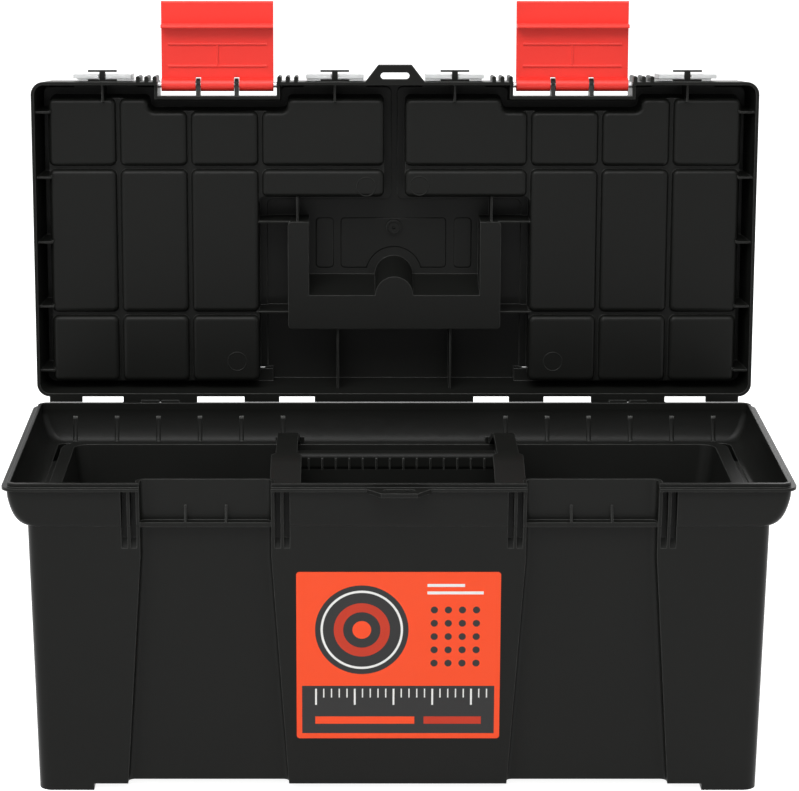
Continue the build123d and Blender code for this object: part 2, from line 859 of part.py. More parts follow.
for name, side in sides.items():
    with BuildPart() as latch:
        latch_side = latch_plane(side)
        with BuildSketch(latch_side) as plate:
            with BuildLine():
                Polyline(
                    (-latch_barrel / 2, 0),
                    (-latch_barrel / 2, latch_length),
                    (plate_back, latch_length),
                    (plate_back, hook_top + hook_thickness),
                    (hook_tip - hook_thickness / 2, hook_top + hook_thickness),
                    (hook_tip, hook_top + hook_thickness / 2),
                    (hook_tip, hook_top),
                    (plate_back, hook_top),
                    (plate_back, 0),
                    close=True,
                )
            make_face()
        extrude(plate.sketch, amount=latch_width / 2, both=True)
        tip_edges = latch.edges().filter_by(Axis.X).group_by(Axis(latch_side.origin, latch_side.y_dir))[-1]
        fillet(tip_edges, latch_tip_radius)
        with BuildSketch(latch_side) as cross_ribs:
            for rib in (latch_rib_near, latch_rib_far):
                with Locations((plate_back, rib)):
                    Rectangle(2 * latch_rib_height, latch_rib_width)
        extrude(cross_ribs.sketch, amount=latch_width / 2 - latch_rib_margin, both=True)
        with BuildSketch(latch_side) as centre_rib:
            with Locations((plate_back, (latch_rib_near + latch_rib_far) / 2)):
                Rectangle(2 * latch_rib_height, latch_rib_far - latch_rib_near)
        extrude(centre_rib.sketch, amount=latch_rib_width / 2, both=True)
        with BuildSketch(latch_side) as barrel:
            Circle(latch_barrel / 2)
        extrude(barrel.sketch, amount=latch_width / 2, both=True)
        with BuildSketch(latch_side) as pin_bore:
            Circle(latch_pin_diameter / 2 + running_fit)
        extrude(pin_bore.sketch, amount=latch_width, both=True, mode=Mode.SUBTRACT)
        for step in (-1, 1):
            lug_plane = latch_side.offset(step * latch_lug_pitch / 2)
            with BuildSketch(lug_plane) as lug_space:
                Rectangle(2 * latch_barrel, latch_barrel + 2 * side_play)
            extrude(lug_space.sketch, amount=latch_lug / 2 + side_play, both=True, mode=Mode.SUBTRACT)
    latch.part.label = f"latch_{name}"
    export_step(latch.part, f"parts/latch_{name}.step")

    with BuildPart() as latch_pin:
        with BuildSketch(latch_side) as pin_end:
            Circle(latch_pin_diameter / 2)
        extrude(pin_end.sketch, amount=notch_half + lid_wall - seat_gap, both=True)
    latch_pin.part.label = f"latch_pin_{name}"
    export_step(latch_pin.part, f"parts/latch_pin_{name}.step")

# Carry handle
grip_w = lid_height + handle_proud - grip_depth / 2
grip_inner = handle_width / 2 - handle_arm


def grip_outline(plane):
    """Rounded section of the grip."""
    with BuildSketch(plane) as outline:
        with Locations((handle_reach, grip_w)):
            RectangleRounded(grip_width, grip_depth, grip_corner)
    return outline.sketch


for name, side in sides.items():
    with BuildPart() as handle_arm_part:
        inner_face = lid_section(side * grip_inner)
        arm_bar = block(
            inner_face,
            0,
            handle_reach,
            handle_pivot_w - handle_arm_depth / 2,
            handle_pivot_w + handle_arm_depth / 2,
        )
        extrude(arm_bar, amount=side * handle_arm)
        extrude(disc(inner_face, 0, handle_pivot_w, handle_arm_depth), amount=side * handle_arm)
        extrude(grip_outline(inner_face), amount=side * handle_arm)
        trunnion = disc(inner_face, 0, handle_pivot_w, trunnion_diameter)
        extrude(trunnion, amount=side * (pocket_half - grip_inner))
        spigot_hole = disc(inner_face, handle_reach, grip_w, grip_spigot_diameter + 2 * press_fit)
        extrude(spigot_hole, amount=side * (grip_spigot_length + seat_gap), mode=Mode.SUBTRACT)
    handle_arm_part.part.label = f"handle_arm_{name}"
    export_step(handle_arm_part.part, f"parts/handle_arm_{name}.step")

with BuildPart() as handle_grip:
    extrude(grip_outline(lid_section(0)), amount=grip_inner, both=True)
    spigot = disc(lid_section(0), handle_reach, grip_w, grip_spigot_diameter)
    extrude(spigot, amount=grip_inner + grip_spigot_length, both=True)
handle_grip.part.label = "handle_grip"
export_step(handle_grip.part, "parts/handle_grip.step")

# Covers over the wells
cover_base = seat_floor + seat_gap
tab_low = nub_level - nub_height
tab_shoulder = lid_height - cover_tab_thickness
fork_top = nub_level + nub_height / 2 + cover_gap
fork_width = nub_neck + 2 * cover_gap
for name, side in sides.items():
    with BuildPart() as cover:
        extrude(well_field(lid_level(cover_base), side, cover_ledge - cover_gap), amount=cover_thickness)
        behind_axis = block(lid_level(cover_base), 0, side * half_width, cover_pivot_y, lid_back)
        extrude(behind_axis, amount=cover_thickness, mode=Mode.SUBTRACT)
        field_middle = lid_section(side * (well_inner + well_outer) / 2)
        barrel_half = (well_outer - well_inner) / 2 + cover_ledge - side_play
        extrude(disc(field_middle, cover_pivot_y, cover_pivot_w, cover_barrel), amount=barrel_half, both=True)
        cover_pin = disc(field_middle, cover_pivot_y, cover_pivot_w, cover_pin_diameter)
        extrude(cover_pin, amount=barrel_half + cover_pin_length, both=True)
        for place in tab_places:
            tab = profile(
                lid_section(side * place),
                (well_front, lid_height),
                (tab_face(lid_height), lid_height),
                (tab_face(tab_shoulder) - cover_tab_thickness, tab_shoulder),
                (tab_face(tab_low) - cover_tab_thickness, tab_low),
                (tab_face(tab_low), tab_low),
                (tab_face(cover_base), cover_base),
                (well_front, cover_base),
            )
            extrude(tab, amount=cover_tab_width / 2, both=True)
            fork = block(
                lid_level(tab_low),
                side * place - fork_width / 2,
                side * place + fork_width / 2,
                lid_front - tab_reach,
                well_front,
            )
            extrude(fork, amount=fork_top - tab_low, mode=Mode.SUBTRACT)
    cover.part.label = f"cover_{name}"
    export_step(cover.part, f"parts/cover_{name}.step")

# Lift-out tray
tray_top = rim_height - tray_drop
tray_low = tray_top - tray_wall
tray_floor = tray_top - tray_height
tray_front = -half_depth + channel_inset + channel_taper * (1 - tray_low / rim_height) + wall + tray_front_gap
tray_back = half_depth - back_inset - wall - tray_back_gap
strap_x = strap_spacing / 2
strap_top = tray_top + strap_rise
strap_middle = (tray_front + tray_back) / 2
strap_crease = strap_middle - strap_flat / 2
grip_top = strap_top - tray_grip_drop
peg_front = tray_front + tray_flange / 2
peg_back = tray_back - tray_flange / 2


def tray_plan(z, inset):
    """Outline of the tray's body at height z, moved in by inset."""
    taper = tray_flange + tray_taper * (tray_top - z) / tray_height + inset
    return plan(
        level(z),
        tray_width / 2 - taper,
        tray_front + taper,
        tray_back - taper,
        tray_corner - inset,
    )


with BuildPart() as tray:
    loft([tray_plan(tray_floor, 0), tray_plan(tray_top, 0)])
    extrude(
        plan(level(tray_low), tray_width / 2, tray_front, tray_back, tray_corner + tray_flange),
        amount=tray_wall,
    )
    loft([tray_plan(tray_floor + tray_wall, tray_wall), tray_plan(tray_top, tray_wall)], mode=Mode.SUBTRACT)
    for side in sides.values():
        divider = block(
            level(tray_floor),
            side * strap_x - tray_wall / 2,
            side * strap_x + tray_wall / 2,
            tray_front + tray_flange + tray_taper,
            tray_back - tray_flange - tray_taper,
        )
        extrude(divider, amount=tray_height - tray_flange)
        for peg in (peg_front, peg_back):
            with BuildSketch(level(tray_low)) as peg_hole:
                with Locations((side * strap_x, peg)):
                    Circle(strap_peg_diameter / 2 + press_fit)
            extrude(peg_hole.sketch, amount=tray_wall, mode=Mode.SUBTRACT)
tray.part.label = "tray"
export_step(tray.part, "parts/tray.step")

with BuildPart() as tray_handle:
    for side in sides.values():
        with BuildSketch(section(side * strap_x)) as strap:
            with BuildLine():
                Polyline(
                    (tray_front, tray_top),
                    (tray_front, tray_top + strap_thickness),
                    (strap_crease, strap_top),
                    (strap_middle + strap_flat / 2, strap_top),
                    (tray_back, tray_top + strap_thickness),
                    (tray_back, tray_top),
                    (tray_back - tray_flange, tray_top),
                    (strap_middle + strap_flat / 2, strap_top - strap_thickness),
                    (strap_crease, strap_top - strap_thickness),
                    (tray_front + tray_flange, tray_top),
                    close=True,
                )
            make_face()
            bends = strap.vertices().group_by(Axis.Y)
            fillet(bends[-1] + bends[-2], strap_bend)
        extrude(strap.sketch, amount=strap_foot / 2, both=True)
        for edge in (-1, 1):
            waist = profile(
                level(tray_top),
                (side * strap_x + edge * strap_foot, strap_crease),
                (side * strap_x + edge * strap_foot / 2, strap_crease),
                (side * strap_x + edge * strap_width / 2, strap_crease + strap_thickness),
                (side * strap_x + edge * strap_width / 2, tray_back - tray_flange),
                (side * strap_x + edge * strap_foot, tray_back - tray_flange),
            )
            extrude(waist, amount=strap_rise, mode=Mode.SUBTRACT)
        cheek = block(
            level(grip_top - tray_grip_depth),
            side * strap_x - strap_width / 2,
            side * strap_x + strap_width / 2,
            strap_middle - tray_grip_width / 2,
            strap_middle + tray_grip_width / 2,
        )
        extrude(cheek, amount=tray_grip_depth + tray_grip_drop - strap_thickness / 2)
        for near, far, peg in (
            (tray_front, tray_front + tray_flange, peg_front),
            (tray_back - tray_flange, tray_back, peg_back),
        ):
            foot = block(
                level(tray_top),
                side * strap_x - strap_foot / 2,
                side * strap_x + strap_foot / 2,
                near,
                far,
            )
            extrude(foot, amount=strap_thickness)
            with BuildSketch(level(tray_low)) as peg_end:
                with Locations((side * strap_x, peg)):
                    Circle(strap_peg_diameter / 2)
            extrude(peg_end.sketch, amount=tray_wall)
    grip_hollow = tray_grip_width - 2 * tray_grip_wall
    with BuildSketch(section(0)) as bar:
        with Locations((strap_middle, grip_top - tray_grip_depth / 2)):
            RectangleRounded(tray_grip_width, tray_grip_depth, strap_thickness)
        with Locations((strap_middle, grip_top - (tray_grip_depth + tray_grip_wall) / 2)):
            Rectangle(grip_hollow, tray_grip_depth - tray_grip_wall, mode=Mode.SUBTRACT)
    extrude(bar.sketch, amount=strap_x, both=True)
    rib_count = int((strap_spacing - strap_width) / finger_rib_pitch)
    for step in range(rib_count):
        place = (step - (rib_count - 1) / 2) * finger_rib_pitch
        finger_rib = block(
            level(grip_top - tray_grip_depth),
            place - finger_rib_depth / 2,
            place + finger_rib_depth / 2,
            strap_middle - tray_grip_width / 2 - finger_rib_depth,
            strap_middle - tray_grip_width / 2 + tray_grip_wall / 2,
        )
        extrude(finger_rib, amount=tray_grip_depth - strap_thickness)
tray_handle.part.label = "tray_handle"
export_step(tray_handle.part, "parts/tray_handle.step")

# Front label
label_top = rim_height - label_top_drop
label_face_y = -half_depth + front_inset + wall_taper * (wall_top - label_top) / wall_top
label_plane = Plane(
    origin=(0, tub_mid + label_face_y, label_top),
    x_dir=(1, 0, 0),
    z_dir=(0, -wall_top, -wall_taper),
)

with BuildPart() as front_label:
    with BuildSketch(label_plane) as sticker:
        with Locations((0, -label_height / 2)):
            RectangleRounded(label_width, label_height, label_corner)
    extrude(sticker.sketch, amount=label_thickness)
front_label.part.label = "front_label"
export_step(front_label.part, "parts/front_label.step")
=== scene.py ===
# %% [markdown]
# # A toolbox with a tray
# The solids of this toolbox come ready made from a CAD file, one object for each real piece, already in
# place and in metres. This lesson dresses them: it sets up a camera and soft studio light, builds one
# finish after another out of shader nodes, and adds the small moulded details that the solids leave out.

# %% The frame
import math

import bmesh
import bpy
from mathutils import Matrix, Vector


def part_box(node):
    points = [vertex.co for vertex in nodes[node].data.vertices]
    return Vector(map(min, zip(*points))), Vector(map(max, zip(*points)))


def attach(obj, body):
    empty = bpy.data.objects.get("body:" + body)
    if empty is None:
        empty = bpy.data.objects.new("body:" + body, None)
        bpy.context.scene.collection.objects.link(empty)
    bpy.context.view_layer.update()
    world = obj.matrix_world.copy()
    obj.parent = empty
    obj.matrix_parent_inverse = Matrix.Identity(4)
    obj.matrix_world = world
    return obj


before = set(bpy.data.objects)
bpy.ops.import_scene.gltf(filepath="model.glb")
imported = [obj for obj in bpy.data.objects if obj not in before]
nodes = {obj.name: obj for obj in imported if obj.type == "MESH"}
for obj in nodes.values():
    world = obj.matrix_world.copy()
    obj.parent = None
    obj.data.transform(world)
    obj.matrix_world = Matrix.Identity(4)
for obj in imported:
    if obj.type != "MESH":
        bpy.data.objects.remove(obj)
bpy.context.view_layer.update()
print("pieces:", ", ".join(sorted(nodes)))

# %% [markdown]
# ## Camera
# The photograph was taken from about two metres away with a long lens, from above the open lid and looking
# down a little. A long lens keeps the box's upright edges almost parallel, so the camera is placed far off
# and zoomed in rather than near and wide. Blender asks for a lens in millimetres on a sensor in millimetres,
# and the view is known in pixels, so the lens is worked out from the width of the picture. The camera
# stands a little left of the box's middle. Turning it towards the box would tilt the level edges, so the lens
# is shifted sideways instead, which moves the picture and leaves the edges level.

# %% Camera
photo_width = 799
focal_pixels = 3096.2
look_down = 13.63
camera_data = bpy.data.cameras.new("studio_camera")
camera_data.sensor_fit = "HORIZONTAL"
camera_data.sensor_width = 36.0
camera_data.lens = focal_pixels / photo_width * camera_data.sensor_width
camera = bpy.data.objects.new("studio_camera", camera_data)
camera.location = (-0.03089, -2.02177, 0.72372)
camera.rotation_euler = (math.radians(90 - look_down), 0, 0)
camera_data.shift_x = 0.0616
camera_data.shift_y = 0.0016
bpy.context.scene.collection.objects.link(camera)
bpy.context.scene.camera = camera
print("lens", round(camera_data.lens, 1), "mm")

# %% [markdown]
# ## Shader sums
# A finish is a sum of small effects: a base tone, a grain, a scuff. Written as node graphs these sums are
# hard to read, so a small class wraps a socket and lets Python's own signs build the Math nodes. Every other
# kind of node comes from its one method, which sets the node up first and then joins its inputs.


# %% Shader sums
class Wire:
    """A socket of a material, with arithmetic that adds Math nodes."""

    def __init__(self, tree, socket=None):
        self.tree = tree
        self.socket = socket

    def node(self, kind, settings=None, inputs=None, out=0):
        """Adds a node, sets it up, then joins or sets its inputs."""
        made = self.tree.nodes.new(kind)
        for name, value in (settings or {}).items():
            setattr(made, name, value)
        for name, value in (inputs or {}).items():
            if isinstance(value, Wire):
                self.tree.links.new(value.socket, made.inputs[name])
            else:
                made.inputs[name].default_value = value
        return Wire(self.tree, made.outputs[out])

    def sum(self, operation, first, second=0.0, clamp=False):
        settings = {"operation": operation, "use_clamp": clamp}
        return self.node("ShaderNodeMath", settings, {0: first, 1: second})

    def __add__(self, other):
        return self.sum("ADD", self, other)

    def __radd__(self, other):
        return self.sum("ADD", other, self)

    def __sub__(self, other):
        return self.sum("SUBTRACT", self, other)

    def __rsub__(self, other):
        return self.sum("SUBTRACT", other, self)

    def __mul__(self, other):
        return self.sum("MULTIPLY", self, other)

    def __rmul__(self, other):
        return self.sum("MULTIPLY", other, self)

    def __mod__(self, other):
        return self.sum("FLOORED_MODULO", self, other)

    def __pow__(self, other):
        return self.sum("POWER", self, other)

    def __lt__(self, other):
        return self.sum("LESS_THAN", self, other)

    def __gt__(self, other):
        return self.sum("GREATER_THAN", self, other)

    def clamp(self):
        return self.sum("ADD", self, 0.0, clamp=True)


def start(name):
    """A new material with its surface shader, and a wire to build its nodes with."""
    material = bpy.data.materials.new(name)
    material.use_nodes = True
    shader = material.node_tree.nodes["Principled BSDF"]
    return material, shader, Wire(material.node_tree)


def join(wire, shader, socket):
    """Feeds one of the surface shader's sockets."""
    wire.tree.links.new(wire.socket, shader.inputs[socket])


def mix(wire, factor, first, second):
    """Mixes two colours."""
    inputs = {0: factor, 6: first, 7: second}
    return wire.node("ShaderNodeMix", {"data_type": "RGBA"}, inputs, out=2)


def noise(wire, place, scale, detail):
    """Soft random clouds, with scale in clouds for each metre."""
    inputs = {"Vector": place, "Scale": scale, "Detail": detail}
    return wire.node("ShaderNodeTexNoise", {"noise_dimensions": "3D"}, inputs)


def dress(name, material):
    """Gives a CAD piece its finish."""
    piece = nodes[name]
    piece.data.materials.clear()
    piece.data.materials.append(material)


print("operators ready")

# %% [markdown]
# ## Moulded plastic
# The tub, the lid and the tray are injection moulded in black, the latches and the handle's arms in red. The
# steel of such a mould is spark-eroded, which leaves a fine even grain that scatters the light, so the
# surface is never mirror smooth. Noise at the grain's own size gives the bump, slower noise makes the sheen
# drift a little, and the Bevel node softens every corner as the mould does, without adding a polygon. Where
# the softened normal leaves the flat one there is a corner, and the corners are painted paler in patches:
# partly wear, partly a painted highlight that stands in for the light caught on the rounded edges.

# %% Moulded plastic
plastic_ior = 1.49
edge_reach = 4.0
sheen_drift = 0.12
sheen_grain = 0.08
grain_depth = 0.0002


def moulded_plastic(name, dark, pale, edge_wear_and_highlight, sheen, grain, specular, softness):
    """Plastic with the fine grain of its mould, softened corners, and paler edges that are partly wear and
    partly painted highlight.
    """
    material, shader, wire = start(name)
    place = wire.node("ShaderNodeTexCoord", out=3)
    fine = noise(wire, place, scale=1500.0, detail=3.0)
    slow = noise(wire, place, scale=13.0, detail=4.0)
    wear_and_highlight_patches = noise(wire, place, scale=160.0, detail=6.0)
    corner = wire.node("ShaderNodeBevel", {"samples": 8}, {"Radius": softness})
    flat = wire.node("ShaderNodeNewGeometry", out=3)
    inputs = {0: corner, 1: flat}
    facing = wire.node("ShaderNodeVectorMath", {"operation": "DOT_PRODUCT"}, inputs, out=1)
    # Corners painted paler in patches: partly wear, partly a painted highlight for the light on rounded
    # edges.
    edge = ((1 - facing) * edge_reach * wear_and_highlight_patches).clamp()
    tone = mix(wire, slow, dark, pale)
    join(mix(wire, edge, tone, edge_wear_and_highlight), shader, "Base Color")
    join(sheen + sheen_drift * (slow - 0.5) + sheen_grain * (fine - 0.5), shader, "Roughness")
    inputs = {"Strength": grain, "Distance": grain_depth, "Height": fine, "Normal": corner}
    join(wire.node("ShaderNodeBump", {}, inputs), shader, "Normal")
    shader.inputs["IOR"].default_value = plastic_ior
    shader.inputs["Specular IOR Level"].default_value = specular
    return material


black_plastic = moulded_plastic(
    "moulded_black",
    dark=(0.0062, 0.0065, 0.0058, 1),
    pale=(0.0088, 0.0091, 0.0083, 1),
    # Edge colour: partly worn plastic, partly a painted highlight.
    edge_wear_and_highlight=(0.105, 0.107, 0.102, 1),
    sheen=0.36,
    grain=0.3,
    specular=0.12,
    softness=0.0009,
)
red_plastic = moulded_plastic(
    "moulded_red",
    dark=(0.80, 0.028, 0.018, 1),
    pale=(0.86, 0.038, 0.025, 1),
    # Edge colour: partly worn plastic, partly a painted highlight.
    edge_wear_and_highlight=(0.96, 0.11, 0.08, 1),
    sheen=0.38,
    grain=0.1,
    specular=0.4,
    softness=0.0005,
)
black_pieces = ("tub", "lid", "tray", "tray_handle", "handle_grip")
red_pieces = ("latch_left", "latch_right", "handle_arm_left", "handle_arm_right")
for name in black_pieces:
    dress(name, black_plastic)
for name in red_pieces:
    dress(name, red_plastic)
print("black plastic on", len(black_pieces), "pieces, red on", len(red_pieces))

# %% [markdown]
# ## Clear covers
# The two covers over the small-parts wells are moulded in clear plastic, with the tabs at the front frosted
# so that fingers find a hold. Glass that is almost smooth gives the clear plate, and a weak cloud in its
# roughness makes the shine uneven, as wiping does. The tabs are a second, milky shader. A Mix Shader lays
# the two side by side, and its mask reads the height on the open lid, above which only the tabs reach.

# %% Clear covers
clear_plastic, clear_shader, wire = start("clear_cover")
place = wire.node("ShaderNodeTexCoord", out=3)
haze = noise(wire, place, scale=45.0, detail=4.0)
grain = noise(wire, place, scale=900.0, detail=2.0)
soft_corner = wire.node("ShaderNodeBevel", {"samples": 6}, {"Radius": 0.0004})
inputs = {"Strength": 0.05, "Distance": 0.0001, "Height": grain, "Normal": soft_corner}
surface = wire.node("ShaderNodeBump", {}, inputs)
join(mix(wire, haze, (0.97, 0.98, 0.98, 1), (0.99, 0.99, 0.99, 1)), clear_shader, "Base Color")
join(0.04 + 0.05 * haze, clear_shader, "Roughness")
join(surface, clear_shader, "Normal")
clear_shader.inputs["Transmission Weight"].default_value = 1.0
clear_shader.inputs["IOR"].default_value = plastic_ior
inputs = {
    "Base Color": mix(wire, haze, (0.90, 0.91, 0.91, 1), (0.95, 0.96, 0.96, 1)),
    "Roughness": 0.3 + 0.12 * haze,
    "Normal": surface,
    "Transmission Weight": 0.35,
    "IOR": plastic_ior,
}
milky = wire.node("ShaderNodeBsdfPrincipled", {}, inputs)
tab_foot = 0.4275
on_tab = wire.node("ShaderNodeSeparateXYZ", {}, {0: place}, out=2) > tab_foot
clear = Wire(wire.tree, clear_shader.outputs[0])
both = wire.node("ShaderNodeMixShader", {}, {0: on_tab, 1: clear, 2: milky})
join(both, clear_plastic.node_tree.nodes["Material Output"], "Surface")
for name in ("cover_left", "cover_right"):
    dress(name, clear_plastic)
print("covers clear, their tabs frosted")

# %% [markdown]
# ## Steel pins
# The hinge pins and latch pins are cut from drawn wire, and drawing leaves fine lines along the wire. A
# picture of brushed metal could be wrapped round each pin, but it would need unwrapping first. Noise that is
# stretched along the pin gives the same lines from the place alone, and feeds the roughness and the bump.

# %% Steel pins
drawn_steel, steel_shader, wire = start("drawn_steel")
place = wire.node("ShaderNodeTexCoord", out=3)
lines_along, lines_across = 20.0, 900.0
stretch = (lines_along, lines_across, lines_across)
drawn = wire.node("ShaderNodeMapping", {}, {"Vector": place, "Scale": stretch})
lines = noise(wire, drawn, scale=1.0, detail=3.0)
join(mix(wire, lines, (0.5, 0.5, 0.51, 1), (0.64, 0.64, 0.65, 1)), steel_shader, "Base Color")
join(0.26 + 0.2 * lines, steel_shader, "Roughness")
inputs = {"Strength": 0.1, "Distance": 0.0001, "Height": lines}
join(wire.node("ShaderNodeBump", {}, inputs), steel_shader, "Normal")
steel_shader.inputs["Metallic"].default_value = 1.0
pins = ("hinge_pin_left", "hinge_pin_right", "latch_pin_left", "latch_pin_right")
for name in pins:
    dress(name, drawn_steel)
print("steel on", len(pins), "pins")

# %% [markdown]
# ## Label
# A film label sits on the middle of the front wall. Its print is plain shapes in orange, charcoal and white:
# rings like a saw blade seen flat, a grid of dots as on a pegboard, and a foot band with a ruler's ticks.
# Each shape is a mask, a sum that is 1 inside the shape and 0 outside, worked out from the place on the label
# in millimetres, so the edges stay sharp at any size. Laying mask over mask works as a printer's inks do.

# %% Label
label_low, label_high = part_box("front_label")
label_film, label_shader, wire = start("label_film")
place = wire.node("ShaderNodeTexCoord", out=3)
millimetres = 1000
x = (wire.node("ShaderNodeSeparateXYZ", {}, {0: place}, out=0) - label_low.x) * millimetres
y = (wire.node("ShaderNodeSeparateXYZ", {}, {0: place}, out=2) - label_low.z) * millimetres
label_width = (label_high.x - label_low.x) * millimetres
label_height = (label_high.z - label_low.z) * millimetres
print("label", round(label_width), "x", round(label_height), "mm")


def within(value, low, high):
    """1 where a value lies between two limits."""
    return (value > low) * (value < high)


def panel(left, right, low, high):
    """1 inside an upright rectangle."""
    return within(x, left, right) * within(y, low, high)


def away(middle_x, middle_y):
    """Distance from a point of the label."""
    return ((x - middle_x) ** 2.0 + (y - middle_y) ** 2.0) ** 0.5


# %% Label shapes
margin = 3.5
band_top = 36.0
bar_low, bar_high = 10, 15
foot_band = panel(margin, label_width - margin, margin, band_top)
band_bar = panel(12, 76, bar_low, bar_high)
band_short = panel(82, 119, bar_low, bar_high)

ruler_end = 8
tick_pitch, long_tick_pitch = 5.0, 25.0
tick_top = band_top - 2
tick_row = panel(ruler_end, label_width - ruler_end, band_top - 8, tick_top)
long_tick_row = panel(ruler_end, label_width - ruler_end, band_top - 13, tick_top)
ticks = within(x % tick_pitch, 2.1, 2.9) * tick_row
long_ticks = within((x - 0.5) % long_tick_pitch, 11.4, 12.6) * long_tick_row

blade = away(42, 74)
blade_disc = blade < 30.0
blade_rim = within(blade, 25.0, 26.5)
blade_eye = blade < 6.0
blade_ring = within(blade, 12.0, 18.0)

grid_left, grid_right = 84, 120
grid_low, grid_high = 47, 92
dot_pitch = 9.0
dot_radius_squared = 5.3
dot_across = (x - grid_left) % dot_pitch - dot_pitch / 2
dot_up = (y - grid_low) % dot_pitch - dot_pitch / 2
dot = (dot_across ** 2.0 + dot_up ** 2.0) < dot_radius_squared
dots = dot * panel(grid_left, grid_right, grid_low, grid_high)
head_lines = panel(grid_left, grid_right, 98, 100) + panel(grid_left, 108, 103, 105)
print("masks for the band, the ruler, the blade, the dots and the lines")

# %% Label inks
orange = (0.96, 0.078, 0.015, 1)
charcoal = (0.014, 0.014, 0.014, 1)
white = (0.86, 0.86, 0.84, 1)
rust = (0.55, 0.035, 0.01, 1)
print_run = (
    (ticks, white),
    (long_ticks, white),
    (band_bar, orange),
    (band_short, rust),
    (blade_disc, charcoal),
    (blade_rim, white),
    (blade_ring, rust),
    (blade_eye, orange),
    (dots, charcoal),
    (head_lines, white),
)
print_colour = mix(wire, foot_band, orange, charcoal)
for mask, ink in print_run:
    print_colour = mix(wire, mask, print_colour, ink)
join(print_colour, label_shader, "Base Color")
cloud = noise(wire, place, scale=60.0, detail=3.0)
ripple = noise(wire, place, scale=25.0, detail=1.0)
join(0.28 + 0.1 * cloud, label_shader, "Roughness")
label_shader.inputs["Specular IOR Level"].default_value = 0.3
inputs = {"Strength": 0.06, "Distance": 0.001, "Height": ripple}
join(wire.node("ShaderNodeBump", {}, inputs), label_shader, "Normal")
dress("front_label", label_film)
print("label printed with", len(print_run), "masks over its band")

# %% [markdown]
# ## Small moulded forms
# The steps that follow add low forms that stand on a moulded wall: ribs, rings and pads. Each is made the
# same way. Rows of points, each a closed loop, are skinned into a tube, as a boat is planked over its frames,
# and the tube's foot is buried a little in the wall so that no gap shows under it. Two helpers do the
# skinning and hang the finished mesh on the body it moves with.


# %% Small moulded forms
def piece_from(mesh_maker, name, body, material):
    """Turns a filled bmesh into a piece that rides on a body."""
    mesh_maker.normal_update()
    bmesh.ops.recalc_face_normals(mesh_maker, faces=mesh_maker.faces)
    data = bpy.data.meshes.new(name)
    mesh_maker.to_mesh(data)
    mesh_maker.free()
    for face in data.polygons:
        face.use_smooth = True
    data.materials.append(material)
    piece = bpy.data.objects.new(name, data)
    bpy.context.scene.collection.objects.link(piece)
    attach(piece, body)
    return piece


def closed_grid(maker, rows, loop=False):
    """Skins rows of points, each a closed loop, into a tube, and caps its ends unless it loops."""
    rings = [[maker.verts.new(point) for point in row] for row in rows]
    count = len(rings[0])
    pairs = list(zip(rings, rings[1:]))
    if loop:
        pairs.append((rings[-1], rings[0]))
    for near, far in pairs:
        for step in range(count):
            after = (step + 1) % count
            maker.faces.new((near[step], near[after], far[after], far[step]))
    if not loop:
        maker.faces.new(rings[0])
        maker.faces.new(rings[-1])


buried = 0.0004
print("feet buried by", buried * millimetres, "mm")

# %% [markdown]
# ## Ribs inside the collar
# The flared collar at the back of the tub is stiffened by soft upright ribs on its inside. Each one is a low
# rounded ridge that follows the collar's quarter curve and fades at its top. A ridge could be a curve with
# a bevel, but then its foot would float off the wall or sink unevenly. Here each ridge is a small grid that
# is laid along the same quarter curve as the wall, so its foot stays buried by the same depth all the way.

# %% Ribs inside the collar
tub_middle = -0.021896
collar_top = 0.2039
collar_back = 0.1086
collar_drop = 0.0221
collar_in = 0.0086
wall = 0.0024
rib_half = 0.0016
rib_height = 0.0009
# Degrees down the collar's quarter curve, and how fast a rib swells from its top
rib_start, rib_sweep = 12, 74
rib_rise = 1.5
rib_facets, rib_steps = 8, 12
rib_first, rib_pitch = 0.078, 0.0291
ribs_each_side = 6
rib_places = [
    side * (rib_first + rib_pitch * step) for side in (-1, 1) for step in range(ribs_each_side)
]


def collar_point(angle, lift):
    """Place on the collar's inside at an angle of its quarter curve, lifted off the wall."""
    out, down = math.cos(angle), math.sin(angle)
    back = tub_middle + collar_back - collar_in * (1 - out) - wall * out
    normal = Vector((0, -out * collar_drop, down * collar_in)).normalized()
    return Vector((0, back, collar_top - collar_drop * down)) + normal * lift


def rib_section(place_x, along):
    """Outline of a rib at a share of its length: a low arch with a buried foot."""
    angle = math.radians(rib_start + rib_sweep * along)
    swell = math.sin(math.pi / 2 * min(1, rib_rise * along))
    row = []
    for turn in range(rib_facets + 1):
        lean = math.pi * turn / rib_facets
        lift = rib_height * swell * math.sin(lean)
        row.append(collar_point(angle, lift) + Vector((place_x + rib_half * math.cos(lean), 0, 0)))
    for side in (-1, 1):
        row.append(collar_point(angle, -buried) + Vector((place_x + side * rib_half, 0, 0)))
    return row


ribs = bmesh.new()
for place_x in rib_places:
    closed_grid(ribs, [rib_section(place_x, step / rib_steps) for step in range(rib_steps + 1)])
piece_from(ribs, "collar_ribs", "tub", black_plastic)
print("collar ribs:", len(rib_places))

# %% [markdown]
# ## Marks of the ejector pins
# When a moulding is pushed out of its mould, the round ejector pins leave faint rings on its inside. Four
# show on the lid's wells, and a boss in the middle of the panel carries a ring and a pip of its own. A ring
# is a small profile turned about an axis, which is quicker and cleaner than cutting a torus in half. The
# marks are easier to place on a lid that lies shut, so one helper swings each point up with the open lid.

# %% Places on the lid
hinge = Vector((0, 0.097104, 0.2012))
lid_open = 91
lid_pose = Matrix.Translation(hinge) @ Matrix.Rotation(math.radians(-lid_open), 4, "X")
hinge_back = 0.119
rim_rise = 0.005


def on_lid(across, back, height):
    """World place of a point of the closed lid, measured from the tub's middle and the lid's rim."""
    return lid_pose @ Vector((across, back - hinge_back, height + rim_rise))


print("lid stands open by", lid_open, "degrees")


